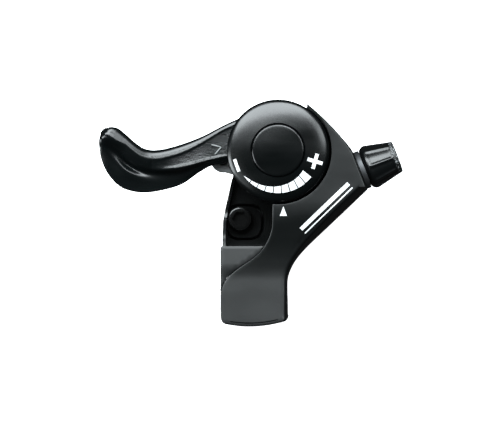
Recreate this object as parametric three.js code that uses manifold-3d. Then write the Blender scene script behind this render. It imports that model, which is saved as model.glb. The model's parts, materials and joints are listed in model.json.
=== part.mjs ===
// Left-hand friction thumb shifter for a 22.2 mm bicycle handlebar.
// Millimetres. The origin is on the handlebar's axis, in the middle of the clamp.
// +X runs along the bar, +Y from the bar to the dial, +Z out of the dial to the rider.
import * as THREE from 'three';
import { mergeVertices } from 'three/addons/utils/BufferGeometryUtils.js';
import Module from 'manifold-3d';

const wasm = await Module();
wasm.setup();

// ---------------------------------------------------------------- driving dimensions
const barRadius = 11.1;
const clampWall = 2.2;
const clampRadius = barRadius + clampWall;
const leftFace = -11;
const rightFace = 10.95;

const dial = { x: 8, y: 44, radius: 16.6, gap: 0.7 };
const capRadius = 8.35;

const floorBottom = 1.5;
const floorTop = 5;
const partingZ = 10;
const partingGap = 0.1;
const wall = 1.6;
const coverTop = 22.5;
const neckTop = 15.5;
const saddleTop = 15.2;
const blockTop = 13.2;

const drum = { bottom: 6, top: 14.4, radius: 16.2, grooveRadius: 14.4, grooveZ: 10 };
const hub = { bottom: 15, plateTop: 17, top: 19.4, radius: 16.2, recess: 10 };
const bushRadius = 5;
const runningGap = 0.1;

const bolt = { x: -4.9, y: 22.1, shank: 2.4, head: 3.95, headBottom: 5.65, headTop: 8.3, tip: -10 };
const hinge = { y: -11.6, z: -6.2, knuckle: 1.5, pin: 0.9 };
const earTop = -1.5;
const earBottom = -4.6;

const stop = { x: 36.3, y: 38.45, z: 10, angle: 21, face: -1.7, halfHeight: 6.6 };
const turn = THREE.MathUtils.degToRad;
const along = new THREE.Vector3(Math.cos(turn(stop.angle)), Math.sin(turn(stop.angle)), 0);
const across = new THREE.Vector3(-along.y, along.x, 0);

// ---------------------------------------------------------------- materials
function plastic(color, roughness) {
  return new THREE.MeshStandardMaterial({ color, roughness, metalness: 0 });
}

function metal(color, roughness) {
  return new THREE.MeshStandardMaterial({ color, roughness, metalness: 1 });
}

const blackNylon = 0x17191a;
const greyNylon = 0x8d9192;
const steel = 0xb5b8ba;
const blackSteel = 0x2a2b2d;
const springSteel = 0x9a9da0;

// ---------------------------------------------------------------- shape helpers
const point = (x, y) => new THREE.Vector2(x, y);

function solid(geometry) {
  geometry.deleteAttribute('normal');
  geometry.deleteAttribute('uv');
  const merged = mergeVertices(geometry, 1e-4);
  const vertProperties = new Float32Array(merged.attributes.position.array);
  const triVerts = new Uint32Array(merged.index.array);
  return new wasm.Manifold(new wasm.Mesh({ numProp: 3, vertProperties, triVerts }));
}

function extrude(shape, length, matrix) {
  const geometry = new THREE.ExtrudeGeometry(shape, { depth: length, bevelEnabled: false, curveSegments: 16 });
  return solid(geometry.applyMatrix4(matrix));
}

function prism(points, bottom, top) {
  const lift = new THREE.Matrix4().makeTranslation(0, 0, bottom);
  return extrude(new THREE.Shape(points), top - bottom, lift);
}

// A section drawn in Y and Z, run along X from one plane to another.
function alongBar(points, from, to) {
  const basis = new THREE.Matrix4().makeBasis(
    new THREE.Vector3(0, 1, 0), new THREE.Vector3(0, 0, 1), new THREE.Vector3(1, 0, 0));
  const shift = new THREE.Matrix4().makeTranslation(from, 0, 0);
  return extrude(new THREE.Shape(points), to - from, shift.multiply(basis));
}

// A section drawn along the cable stop's axis and in Z, run across that axis.
function acrossStop(points, halfWidth) {
  const basis = new THREE.Matrix4().makeBasis(along, new THREE.Vector3(0, 0, 1), across.clone().negate());
  const start = across.clone().multiplyScalar(halfWidth).add(new THREE.Vector3(stop.x, stop.y, 0));
  const shift = new THREE.Matrix4().makeTranslation(start);
  return extrude(new THREE.Shape(points), 2 * halfWidth, shift.multiply(basis));
}

// A solid of revolution about Z. The profile lists radius and height, closed on itself or on the axis.
function revolved(profile, segments = 28) {
  const geometry = new THREE.LatheGeometry(profile.map(([r, z]) => point(r, z)), segments);
  return solid(geometry.rotateX(Math.PI / 2));
}

function ring(inner, outer, bottom, top, segments = 28) {
  const profile = [[inner, bottom], [outer, bottom], [outer, top], [inner, top], [inner, bottom]];
  return revolved(profile, segments);
}

function rod(radius, bottom, top, segments = 24) {
  return revolved([[0, bottom], [radius, bottom], [radius, top], [0, top]], segments);
}

// A rod along X between two planes, at a height and distance from the bar's axis.
function barRod(radius, from, to, y = 0, z = 0, segments = 24) {
  const geometry = new THREE.CylinderGeometry(radius, radius, to - from, segments);
  geometry.rotateZ(-Math.PI / 2).translate((from + to) / 2, y, z);
  return solid(geometry);
}

function arc(x, y, radius, startDegrees, endDegrees, steps) {
  return Array.from({ length: steps + 1 }, (_, i) => {
    const angle = turn(startDegrees + (endDegrees - startDegrees) * i / steps);
    return point(x + radius * Math.cos(angle), y + radius * Math.sin(angle));
  });
}

function bend(steps, ...controls) {
  const [a, b, c, d] = controls.map(([x, y]) => point(x, y));
  const curve = d ? new THREE.CubicBezierCurve(a, b, c, d) : new THREE.QuadraticBezierCurve(a, b, c);
  return curve.getPoints(steps);
}

function regular(sides, radius, x = 0, y = 0, phase = 0) {
  return arc(x, y, radius, phase, phase + 360 - 360 / sides, sides - 1);
}

function roundedBox(left, low, right, high, radius) {
  return [
    ...arc(right - radius, low + radius, radius, -90, 0, 5),
    ...arc(right - radius, high - radius, radius, 0, 90, 5),
    ...arc(left + radius, high - radius, radius, 90, 180, 5),
    ...arc(left + radius, low + radius, radius, 180, 270, 5),
  ];
}

// A closed skin through rings of equal length. The first ring's triangles cap both ends.
function loft(rings) {
  const count = rings[0].length;
  const vertices = rings.flat().flatMap(p => [p.x, p.y, p.z]);
  const faces = [];
  for (let r = 0; r + 1 < rings.length; r++) {
    for (let i = 0; i < count; i++) {
      const a = r * count + i;
      const b = r * count + (i + 1) % count;
      faces.push(a, b, b + count, a, b + count, a + count);
    }
  }
  const flat = rings[0].map(p => point(p.u ?? p.x, p.v ?? p.y));
  const last = (rings.length - 1) * count;
  for (const [a, b, c] of THREE.ShapeUtils.triangulateShape(flat, [])) {
    faces.push(a, c, b);
    faces.push(last + a, last + b, last + c);
  }
  const geometry = new THREE.BufferGeometry();
  geometry.setAttribute('position', new THREE.Float32BufferAttribute(vertices, 3));
  geometry.setIndex(faces);
  return solid(geometry);
}

// ---------------------------------------------------------------- outlines seen from the front
// Every point carries a draft: how far the wall leans in by the time it is coverTop high.
function drafted(points, from, to = from) {
  return points.map((p, i) => Object.assign(p, { draft: from + (to - from) * i / points.length }));
}

function bottomEdge(inset) {
  const centre = point(-1.5, 26.7);
  const radius = 40 - inset;
  const reach = 9.2 - 0.6 * inset;
  const start = 270 + THREE.MathUtils.radToDeg(Math.asin((-reach - centre.x) / radius));
  const end = 270 + THREE.MathUtils.radToDeg(Math.asin((reach - centre.x) / radius));
  return arc(centre.x, centre.y, radius, start, end, 8);
}

// From the clamp's lower right corner, up the neck and the diagonal, round the cable stop, to the fin.
function rightEdges(inset) {
  const right = rightFace - inset;
  const low = -9.8 + 0.3 * inset;
  const slant = point(18.1 - 0.69 * inset, 13.7 + 0.73 * inset);
  const end = stop.face - inset;
  const lower = point(
    stop.x + end * along.x - (stop.halfHeight - inset) * across.x,
    stop.y + end * along.y - (stop.halfHeight - inset) * across.y);
  const upper = point(
    stop.x + end * along.x + (stop.halfHeight - inset) * across.x,
    stop.y + end * along.y + (stop.halfHeight - inset) * across.y);
  const finTip = inset > 0 ? point(27.2, 48.1) : point(17.3, 59.3);
  const shoulder = inset > 0
    ? bend(4, [upper.x, upper.y], [upper.x - 1.2, upper.y + 1.6], [finTip.x, finTip.y])
    : bend(10, [upper.x, upper.y], [30.5, 47.3], [22.6, 55.6], [finTip.x, finTip.y]);
  const corner = bend(4, [9.2 - 0.6 * inset, -11.84 + inset], [right, -11.6 + inset], [right, low]);
  return [
    ...drafted(corner.slice(1), 1),
    ...drafted(bend(8, [right, 1], [right + 0.05, 6], [14.6 - 0.7 * inset, 10.3 + 0.6 * inset],
      [slant.x, slant.y]), 1, 2.2),
    ...drafted([lower], 2.2),
    ...drafted(shoulder, 1.2, 0),
  ];
}

function leftCorner(inset) {
  const left = leftFace + inset;
  const low = bottomEdge(inset)[0];
  return bend(4, [left, -9.6 + 0.3 * inset], [left + 0.05, -12.1 + inset], [low.x, low.y]).slice(0, -1);
}

// The S-shaped split between the cover and the saddle, from the dial down to the left face.
function splitEdge(inset) {
  const left = leftFace + inset;
  const top = point(6.2 + inset, dial.y - dial.radius - dial.gap + 0.1 - inset);
  return [
    top,
    ...bend(6, [6.1 + inset, 20.6], [6 + inset, 16.2], [2.8 + 0.7 * inset, 11.1 - 0.7 * inset],
      [-1.2 + 0.5 * inset, 8.5 - 0.8 * inset]),
    ...bend(6, [-1.2 + 0.5 * inset, 8.5 - 0.8 * inset], [-6.4 + 0.6 * inset, 5.1 - 0.8 * inset],
      [-10.6 + inset, 2.5 - 0.6 * inset], [left, -3 - 0.3 * inset]).slice(1),
  ];
}

function dialArc(inset) {
  const radius = dial.radius + dial.gap + inset;
  const start = inset > 0 ? 9 : 59;
  return arc(dial.x, dial.y, radius, start, -95.9 + 5 * inset, inset > 0 ? 14 : 22);
}

function coverOutline(inset = 0) {
  return [
    ...drafted(bottomEdge(inset), 0.8),
    ...rightEdges(inset),
    ...drafted(dialArc(inset), 0),
    ...drafted(splitEdge(inset).slice(1), 0),
    ...drafted(leftCorner(inset), 0.6),
  ];
}

// The bracket's own outline: the cover's outer edges, then across the dial's middle and down the pocket's left.
const baseOutline = [
  ...bottomEdge(0),
  ...rightEdges(0),
  point(16.2, 57.8),
  point(dial.x, dial.y),
  point(-7.2, 36.5),
  point(-8.8, 29.25),
  point(-9.7, 25.3),
  point(-10.35, 21.4),
  point(-10.35, 13.1),
  point(leftFace, 12.6),
  ...leftCorner(0),
];

// Walls stand on the outline at partingZ and lean in by each point's draft at coverTop.
function taperedPrism(outline, bottom, top) {
  const count = outline.length;
  const inward = outline.map((p, i) => {
    const before = outline[(i + count - 1) % count];
    const after = outline[(i + 1) % count];
    return point(before.y - after.y, after.x - before.x).normalize();
  });
  const ringAt = z => outline.map((p, i) => {
    const lean = p.draft * (z - partingZ) / (coverTop - partingZ);
    return new THREE.Vector3(p.x + inward[i].x * lean, p.y + inward[i].y * lean, z);
  });
  return loft([ringAt(bottom), ringAt(top)]);
}

// ---------------------------------------------------------------- the cover's top surface
const sweep = { start: 6, end: 27 };

function frontLimit(lower) {
  const rise = coverTop - neckTop;
  const curve = Array.from({ length: 11 }, (_, i) => {
    const y = sweep.end - (sweep.end - sweep.start) * i / 10;
    return point(y, neckTop - lower + rise * ((y - sweep.start) / (sweep.end - sweep.start)) ** 2);
  });
  const foot = neckTop + 1.1 - lower;
  const round = bend(4, [-12 + lower, foot], [-13.2 + lower, foot], [-13.4 + lower, foot - 1.4]);
  const section = [point(-13.4 + lower, 0), point(62, 0), point(62, coverTop - lower), ...curve, ...round];
  return alongBar(section, -14, 46);
}

function stopLimit(lower) {
  const slope = { start: -11, drop: 5.2 };
  const curve = Array.from({ length: 9 }, (_, i) => {
    const w = slope.start * (1 - i / 8);
    return point(w, coverTop - lower - slope.drop * ((w - slope.start) / -slope.start) ** 1.6);
  });
  const section = [point(-60, 0), point(0, 0), ...curve.reverse(), point(-60, coverTop - lower)];
  return acrossStop(section, 60);
}

// ---------------------------------------------------------------- places of fasteners
const coverScrews = [point(23, 27), point(11.5, 18.5)];
const pegs = [30, 150, 270].map(degrees => arc(0, 0, 12.8, degrees, degrees, 1)[0]);
const dogs = [90, 210, 330].map(degrees => arc(0, 0, 12.8, degrees, degrees, 1)[0]);

function at(geometrySolid, x, y) {
  return geometrySolid.translate([x, y, 0]);
}

// The cable stop's own axis, turned from Z onto the stop.
const toStop = new THREE.Matrix4().makeBasis(across.clone().negate(), new THREE.Vector3(0, 0, 1), along.clone())
  .setPosition(stop.x, stop.y, stop.z);
const stopBore = () => rod(3.9, -14, 1, 32).transform([...toStop.elements]);
const stopBlock = (bottom, top) => prism([
  [-11.5, -stop.halfHeight], [stop.face, -stop.halfHeight], [stop.face, stop.halfHeight], [-6, stop.halfHeight],
  [-9.5, 2.5],
].map(([w, v]) => point(stop.x + w * along.x + v * across.x, stop.y + w * along.y + v * across.y)), bottom, top);

// ---------------------------------------------------------------- bracket_base
function bracketBase() {
  const full = (bottom, top) => prism(baseOutline, bottom, top);
  const under = taperedPrism(coverOutline(wall + 0.3), partingZ - partingGap - 1, blockTop)
    .intersect(frontLimit(wall + 0.3));
  const clampZone = section => alongBar(section, -14, 30);

  const floor = full(floorBottom, floorTop).add(at(rod(16.4, floorBottom, floorTop, 40), dial.x, dial.y));
  const walls = prism(coverOutline(), floorBottom, partingZ - partingGap)
    .subtract(prism(coverOutline(wall), floorTop, partingZ));
  const cableGap = at(ring(dial.radius, dial.radius + 3.2, 8.4, partingZ, 40), dial.x, dial.y)
    .intersect(prism([point(7.9, 15), point(40, 15), point(40, 62), point(7.9, 62)], 8, 11));
  const block = full(0, partingZ - partingGap)
    .intersect(clampZone([point(-14, 0), point(13.1, 0), point(13.1, 11), point(-14, 11)]))
    .add(under.intersect(clampZone([point(-14, 8), point(13.1, 8), point(13.1, 14), point(-14, 14)])));
  const saddle = full(8, saddleTop)
    .subtract(taperedPrism(coverOutline(-0.15).map(p => Object.assign(p, { draft: 0 })), 7, 16))
    .intersect(clampZone([point(-12.9, 7), point(13.1, 7), point(13.1, 16), point(-12.9, 16)]))
    .intersect(prism([point(-12, -6), point(6, -6), point(6, 14), point(-12, 14)], 7, 16));

  const sideWall = prism([
    point(-10.35, 13), point(-10.35, 21.4), point(-9.7, 25.3), point(-8.8, 29.25), point(-7.5, 35.2),
    point(-6.5, 34.6), point(-7.85, 29.1), point(-8.75, 25.2), point(-9.35, 21.3), point(-9.35, 13),
  ], floorBottom, saddleTop);
  const sideLimit = alongBar([
    point(12.9, 0), point(38, 0), point(38, 8.2), point(21.6, 8.2), point(16.5, saddleTop - 0.4),
    point(12.9, saddleTop - 0.4),
  ], -12, 8);

  const recess = roundedBox(-9.1, 15.9, 2, 26.2, 4.3);
  const recessRim = roundedBox(-10, 15, 2.9, 27.1, 5.2);
  const boss = prism(recessRim, floorTop - 1, 8).subtract(prism(recess, floorTop, 9))
    .intersect(prism([point(-9.3, 14), point(5, 14), point(5, 28), point(-9.3, 28)], 0, 12));

  const jaw = clampZone(arc(0, 0, clampRadius, 176, 208, 8).concat(arc(0, 0, barRadius - 1, 208, 176, 8)))
    .intersect(full(-14, 14));
  const backBoss = at(rod(9, -1, floorBottom + 0.5, 28), dial.x, dial.y);
  const screwBosses = coverScrews
    .map(p => at(ring(1.6, 2.9, floorTop - 0.5, partingZ - partingGap, 20), p.x, p.y))
    .reduce((a, b) => a.add(b));

  let base = floor.add(walls).subtract(cableGap).add(block).add(saddle).add(sideWall.intersect(sideLimit));
  base = base.add(boss).add(jaw).add(backBoss).add(screwBosses).add(stopBlock(floorBottom, partingZ - partingGap));
  base = base.subtract(barRod(barRadius, -30, 30, 0, 0, 48)).subtract(stopBore());

  const knuckle = [[-9.4, -4.4], [4.4, 9.4]]
    .map(([from, to]) => barRod(hinge.knuckle, from, to, hinge.y, hinge.z, 20))
    .reduce((a, b) => a.add(b))
    .intersect(full(-14, 2));
  const bandSpace = barRod(hinge.knuckle + 0.3, -4.2, 4.2, hinge.y, hinge.z, 20);
  base = base.add(knuckle).subtract(bandSpace).subtract(barRod(hinge.pin + 0.05, -12, 12, hinge.y, hinge.z, 16));

  base = base.subtract(at(rod(4.1, -3, 8, 32), dial.x, dial.y));
  base = base.subtract(at(rod(6.7, -3, 0.9, 32), dial.x, dial.y));
  base = base.subtract(at(rod(2.9, -3, 8, 24), bolt.x, bolt.y));
  for (const p of coverScrews) {
    base = base.subtract(at(rod(1.6, -1, 12, 20), p.x, p.y));
    base = base.subtract(at(rod(2.9, -1, floorBottom + 1.4, 20), p.x, p.y));
  }
  return base;
}

// ---------------------------------------------------------------- bracket_cover
function bracketCover() {
  const outer = taperedPrism(coverOutline(), partingZ, coverTop + 1).intersect(frontLimit(0)).intersect(stopLimit(0));
  const hollow = taperedPrism(coverOutline(wall), partingZ - 1, coverTop)
    .intersect(frontLimit(wall)).intersect(stopLimit(wall));
  const cableGap = at(ring(dial.radius, dial.radius + 3.2, partingZ - 1, 11.6, 40), dial.x, dial.y)
    .intersect(prism([point(7.9, 15), point(40, 15), point(40, 62), point(7.9, 62)], 8, 12));
  const posts = coverScrews
    .map(p => at(ring(1.1, 2.9, partingZ, coverTop, 20), p.x, p.y))
    .reduce((a, b) => a.add(b))
    .intersect(frontLimit(wall / 2));
  const block = stopBlock(partingZ, coverTop).intersect(outer);
  return outer.subtract(hollow).subtract(cableGap).add(posts).add(block).subtract(stopBore())
    .subtract(barRod(barRadius, -30, 30, 0, 0, 48));
}

// ---------------------------------------------------------------- clamp band, hinge and bolt
function clampBand() {
  const band = barRod(clampRadius, -9.2, 9.2, 0, 0, 48).intersect(prism(baseOutline, -14, 2));
  const lower = alongBar([
    point(hinge.y - 4, hinge.z - 0.4), point(hinge.y, hinge.z - 0.4), point(-9, -5), point(0, -1.2),
    point(11, earTop), point(16, earTop), point(16, -15), point(-16, -15),
  ], -12, 12);
  const ear = alongBar([
    point(11.3, earTop), point(27.6, earTop), point(27.6, -5.8), point(25.2, -8.4), point(17, -8.4),
    point(11, -10), point(9, -9),
  ], -9.6, 0.2);
  const knuckle = barRod(hinge.knuckle, -4.1, 4.1, hinge.y, hinge.z, 20)
    .add(alongBar([
      point(-13, -7.6), point(-11.2, -6.4), point(-9.2, -6.3), point(-10.2, -8.6),
    ], -4.1, 4.1));
  let body = band.intersect(lower)
    .subtract(barRod(hinge.knuckle + 0.25, -12, -4.1, hinge.y, hinge.z, 20))
    .subtract(barRod(hinge.knuckle + 0.25, 4.1, 12, hinge.y, hinge.z, 20))
    .add(ear).add(knuckle)
    .subtract(barRod(barRadius, -10, 10, 0, 0, 48))
    .subtract(barRod(hinge.pin + 0.1, -12, 12, hinge.y, hinge.z, 16));
  const boltSlot = [
    ...arc(bolt.x, bolt.y + 0.5, 2.9, 0, 180, 10), ...arc(bolt.x, bolt.y - 0.5, 2.9, 180, 360, 10),
  ];
  body = body.subtract(prism(boltSlot, -12, 0));
  return body.subtract(prism(regular(6, 4.85, bolt.x, bolt.y, 30), -12, earBottom));
}

function clampBolt() {
  const profile = [
    [0, bolt.tip], [1.9, bolt.tip], [bolt.shank, bolt.tip + 0.6], [bolt.shank, bolt.headBottom],
    [bolt.head, bolt.headBottom], [bolt.head, bolt.headTop - 0.6], [bolt.head - 0.6, bolt.headTop], [0, bolt.headTop],
  ];
  const socket = prism(regular(6, 2.6), bolt.headTop - 1.9, bolt.headTop + 1);
  return revolved(profile, 24).subtract(socket);
}

function clampNut() {
  return prism(regular(6, 4.6, 0, 0, 30), earBottom - 3.3, earBottom - 0.1).subtract(rod(2.85, -12, 0, 24));
}

// ---------------------------------------------------------------- lever stack, about the dial's axis
const postTop = 19.1;
const screwHead = { bottom: 19.35, top: 21.6, radius: 7.4 };

function axlePost() {
  return revolved([
    [0, -0.8], [6.5, -0.8], [6.5, 0.75], [4, 0.75], [4, postTop], [2, postTop], [2, 6], [0, 6],
  ]);
}

function leverScrew() {
  const profile = [
    [0, 8], [1.9, 8], [1.9, screwHead.bottom], [screwHead.radius, screwHead.bottom],
    [screwHead.radius, screwHead.bottom + 1], [4, screwHead.bottom + 1], [3.6, screwHead.top], [0, screwHead.top],
  ];
  const arm = (width, length) => [
    point(-length, -width), point(length, -width), point(length, width), point(-length, width),
  ];
  const slot = prism(arm(0.55, 2.4), screwHead.top - 1.4, 24).add(prism(arm(2.4, 0.55), screwHead.top - 1.4, 24));
  return revolved(profile).subtract(slot);
}

function waveWasher() {
  const inner = 5.2;
  const outer = 8.6;
  const steps = 36;
  const height = angle => 18.75 + 0.28 * Math.cos(3 * angle);
  const vertices = [];
  const faces = [];
  for (let i = 0; i < steps; i++) {
    const angle = 2 * Math.PI * i / steps;
    for (const [radius, lift] of [[inner, -0.2], [outer, -0.2], [outer, 0.2], [inner, 0.2]]) {
      vertices.push(radius * Math.cos(angle), radius * Math.sin(angle), height(angle) + lift);
    }
    for (let k = 0; k < 4; k++) {
      const a = 4 * i + k;
      const b = 4 * i + (k + 1) % 4;
      const c = 4 * ((i + 1) % steps) + k;
      const d = 4 * ((i + 1) % steps) + (k + 1) % 4;
      faces.push(a, c, b, b, c, d);
    }
  }
  const geometry = new THREE.BufferGeometry();
  geometry.setAttribute('position', new THREE.Float32BufferAttribute(vertices, 3));
  geometry.setIndex(faces);
  return solid(geometry);
}

function cableDrum() {
  const { bottom, top, radius, grooveRadius, grooveZ } = drum;
  const inner = bushRadius + runningGap;
  const profile = [
    [inner, bottom], [radius, bottom], [radius, grooveZ - 1.6], [grooveRadius, grooveZ - 0.7],
    [grooveRadius, grooveZ + 0.7], [radius, grooveZ + 1.6], [radius, top], [inner, top], [inner, bottom],
  ];
  const lugAngle = 188.6;
  const tip = arc(0, 0, 18.5, lugAngle, lugAngle, 1)[0];
  const lug = prism([
    ...arc(tip.x, tip.y, 4, lugAngle - 90, lugAngle + 90, 12),
    ...arc(0, 0, 15, lugAngle + 24, lugAngle - 24, 6),
  ], 9, 14);
  const nipplePocket = at(rod(1.9, 10.6, 15, 16), tip.x, tip.y);
  const pins = dogs.map(p => at(rod(1.4, top - 0.5, top + 2, 16), p.x, p.y)).reduce((a, b) => a.add(b));
  return revolved(profile, 36).add(lug).subtract(nipplePocket).add(pins);
}

// Stations along the lever: the inner and outer edge seen from the front, then the heights of the
// crest, the cove, the thumb pad and the underside.
const stations = [
  [-1.5, 56.0, -4.5, 41.0, 19.3, 19.3, 19.3, 15.2],
  [-9.5, 52.5, -13.0, 39.7, 19.4, 19.2, 19.2, 15.3],
  [-17.3, 48.5, -17.8, 37.3, 19.9, 19.0, 18.7, 15.8],
  [-25.1, 45.6, -23.4, 33.5, 20.8, 18.6, 18.3, 16.2],
  [-31.2, 44.2, -29.8, 31.5, 21.9, 18.5, 18.7, 16.4],
  [-35.4, 44.5, -36.6, 30.7, 23.0, 18.7, 19.5, 16.6],
  [-38.8, 46.6, -43.0, 32.3, 24.1, 19.3, 20.3, 16.9],
  [-41.7, 49.2, -47.2, 36.4, 25.0, 20.3, 21.2, 17.4],
  [-44.2, 51.2, -49.5, 41.4, 25.9, 21.7, 22.4, 18.2],
  [-46.2, 51.7, -50.2, 46.6, 26.2, 23.6, 23.6, 19.6],
  [-47.9, 51.4, -49.8, 49.4, 25.2, 24.3, 24.0, 21.2],
];

function leverSection([innerX, innerY, outerX, outerY, crest, cove, pad, under]) {
  const corners = [
    [0, (under + crest) / 2], [0.07, under], [0.5, under], [0.93, under], [1, (under + pad) / 2],
    [0.88, pad - 0.3], [0.72, pad], [0.6, cove], [0.5, cove + 0.12 * (crest - cove)],
    [0.34, crest - 0.3 * (crest - cove)], [0.18, crest], [0.08, crest - 0.5], [0.01, crest - 1.5],
  ];
  const curve = new THREE.CatmullRomCurve3(corners.map(([s, z]) => new THREE.Vector3(s, z, 0)), true, 'centripetal');
  return curve.getPoints(16).slice(0, -1).map(p => {
    const place = new THREE.Vector3(innerX + (outerX - innerX) * p.x, innerY + (outerY - innerY) * p.x, p.y);
    return Object.assign(place, { u: p.x * 10, v: p.y });
  });
}

function smoothStations(perSpan) {
  const smooth = [];
  for (let i = 0; i < (stations.length - 1) * perSpan + 1; i++) {
    const span = Math.min(Math.floor(i / perSpan), stations.length - 2);
    const t = i / perSpan - span;
    const pick = k => stations[Math.max(0, Math.min(stations.length - 1, span + k))];
    const [a, b, c, d] = [pick(-1), pick(0), pick(1), pick(2)];
    smooth.push(b.map((value, k) => 0.5 * (2 * value + (c[k] - a[k]) * t
      + (2 * a[k] - 5 * value + 4 * c[k] - d[k]) * t * t + (3 * value - a[k] - 3 * c[k] + d[k]) * t * t * t)));
  }
  return smooth;
}

function thumbLever() {
  const paddle = loft(smoothStations(2).map(leverSection));
  const { bottom, plateTop, top, radius, recess } = hub;
  const inner = bushRadius + runningGap;
  const disc = at(revolved([
    [inner, bottom], [radius, bottom], [radius, top], [recess, top], [recess, plateTop], [inner, plateTop],
    [inner, bottom],
  ], 36), dial.x, dial.y);
  let lever = disc.add(paddle.subtract(at(rod(recess + 2, 14, 21, 40), dial.x, dial.y)));
  for (const p of dogs) {
    lever = lever.subtract(at(rod(1.6, bottom - 1, bottom + 1.8, 16), dial.x + p.x, dial.y + p.y));
  }
  for (const p of pegs) {
    lever = lever.subtract(at(rod(1.35, top - 2.2, top + 2, 16), dial.x + p.x, dial.y + p.y));
  }
  return lever;
}

function indicatorDial() {
  const shell = revolved([
    [14.9, 19.6], [16.4, 19.6], [dial.radius, 19.9], [dial.radius, 22.9], [16.3, 23.5], [15.6, 23.9],
    [13.5, 24.5], [11, 25], [capRadius + 0.25, 25.35], [capRadius + 0.25, 23.4], [6.6, 23.4], [6.6, 22.2],
    [13.6, 22.2], [14.9, 21.6], [14.9, 19.6],
  ], 40);
  const feet = pegs.map(p => at(ring(0.35, 1.15, hub.top - 1.9, 22.6, 14), p.x, p.y)).reduce((a, b) => a.add(b));
  return shell.add(feet);
}

function centreCap() {
  return revolved([
    [0, 24.4], [5.9, 24.4], [5.9, 22.4], [6.4, 22.4], [6.4, 23.5], [capRadius, 23.5], [capRadius, 25.3],
    [6.5, 25.65], [4, 25.9], [0, 26.05],
  ], 32);
}

// ---------------------------------------------------------------- barrel adjuster, about its own axis
const knob = { length: 11.4, nearRadius: 6.9, farRadius: 5.3, widest: 2.2, flutes: 8 };

function adjusterKnob() {
  const body = revolved([
    [0, 0], [knob.nearRadius - 1.2, 0], [knob.nearRadius - 0.4, 0.9], [knob.nearRadius, knob.widest],
    [knob.farRadius, knob.length - 0.7], [knob.farRadius - 0.5, knob.length], [0, knob.length],
  ], 32);
  const spring = rod(4.3, -1, 4.2, 24);
  const housing = rod(2.75, 5.4, knob.length + 1, 20);
  let shaped = body.subtract(spring).subtract(housing).subtract(rod(2.55, 0, 8, 24));
  const fluteLength = knob.length - 1.4 - knob.widest;
  const taper = Math.atan((knob.nearRadius - knob.farRadius) / (knob.length - 0.7 - knob.widest));
  const flute = rod(1.3, 0, fluteLength, 10)
    .rotate([0, -THREE.MathUtils.radToDeg(taper), 0])
    .translate([knob.nearRadius + 0.75, 0, knob.widest]);
  for (let i = 0; i < knob.flutes; i++) {
    shaped = shaped.subtract(flute.rotate([0, 0, i * 360 / knob.flutes]));
  }
  return shaped;
}

function adjusterStem() {
  return ring(1.1, 2.2, -11, 5.1, 20);
}

function adjusterCollar() {
  return revolved([
    [2.6, -9], [3.55, -9], [3.55, stop.face + 0.3], [6.4, stop.face + 0.3], [6.4, -0.1], [2.6, -0.1], [2.6, -9],
  ], 28);
}

function adjusterSpring() {
  const turns = 4;
  const radius = 3.6;
  const steps = turns * 10;
  const helix = Array.from({ length: steps + 1 }, (_, i) => {
    const angle = 2 * Math.PI * turns * i / steps;
    return new THREE.Vector3(radius * Math.cos(angle), radius * Math.sin(angle), 0.35 + 3.1 * i / steps);
  });
  const wire = new THREE.Shape(regular(4, 0.35));
  const path = new THREE.CatmullRomCurve3(helix);
  return solid(new THREE.ExtrudeGeometry(wire, { steps, extrudePath: path, bevelEnabled: false }));
}

function housingSeat() {
  return ring(1.2, 2.4, 5.75, 7.1, 20);
}

// ---------------------------------------------------------------- assembly
function piece(name, shape, material) {
  const { vertProperties, triVerts } = shape.getMesh();
  const geometry = new THREE.BufferGeometry();
  geometry.setAttribute('position', new THREE.BufferAttribute(new Float32Array(vertProperties), 3));
  geometry.setIndex(new THREE.BufferAttribute(new Uint32Array(triVerts), 1));
  geometry.computeVertexNormals();
  const mesh = new THREE.Mesh(geometry, material);
  mesh.name = name;
  return mesh;
}

const shifter = new THREE.Group();
shifter.add(
  piece('bracket_base', bracketBase(), plastic(blackNylon, 0.5)),
  piece('bracket_cover', bracketCover(), plastic(blackNylon, 0.42)),
  piece('thumb_lever', thumbLever(), plastic(blackNylon, 0.35)),
  piece('clamp_band', clampBand(), plastic(blackNylon, 0.5)),
  piece('hinge_pin', barRod(hinge.pin, -8.6, 8.6, hinge.y, hinge.z, 16), metal(steel, 0.3)),
);

const stack = new THREE.Group();
stack.position.set(dial.x, dial.y, 0);
stack.add(
  piece('axle_post', axlePost(), metal(steel, 0.35)),
  piece('friction_disc', ring(5.3, 12.6, floorTop + 0.05, drum.bottom - 0.05, 32), metal(springSteel, 0.45)),
  piece('drum_bush', ring(4.08, bushRadius, floorTop + 0.1, 16.9, 28), plastic(greyNylon, 0.5)),
  piece('cable_drum', cableDrum(), plastic(greyNylon, 0.45)),
  piece('pressure_washer', ring(4.08, 9.4, hub.plateTop + 0.1, 18.15, 28), metal(steel, 0.4)),
  piece('wave_washer', waveWasher(), metal(springSteel, 0.35)),
  piece('lever_screw', leverScrew(), metal(steel, 0.3)),
  piece('indicator_dial', indicatorDial(), plastic(blackNylon, 0.3)),
  piece('centre_cap', centreCap(), plastic(blackNylon, 0.3)),
);

const clampStack = new THREE.Group();
clampStack.position.set(bolt.x, bolt.y, 0);
clampStack.add(
  piece('clamp_bolt', clampBolt(), metal(blackSteel, 0.4)),
  piece('clamp_washer', ring(2.6, 3.9, floorTop + 0.05, bolt.headBottom - 0.05, 20), metal(steel, 0.4)),
  piece('clamp_nut', clampNut(), metal(steel, 0.4)),
);

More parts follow.
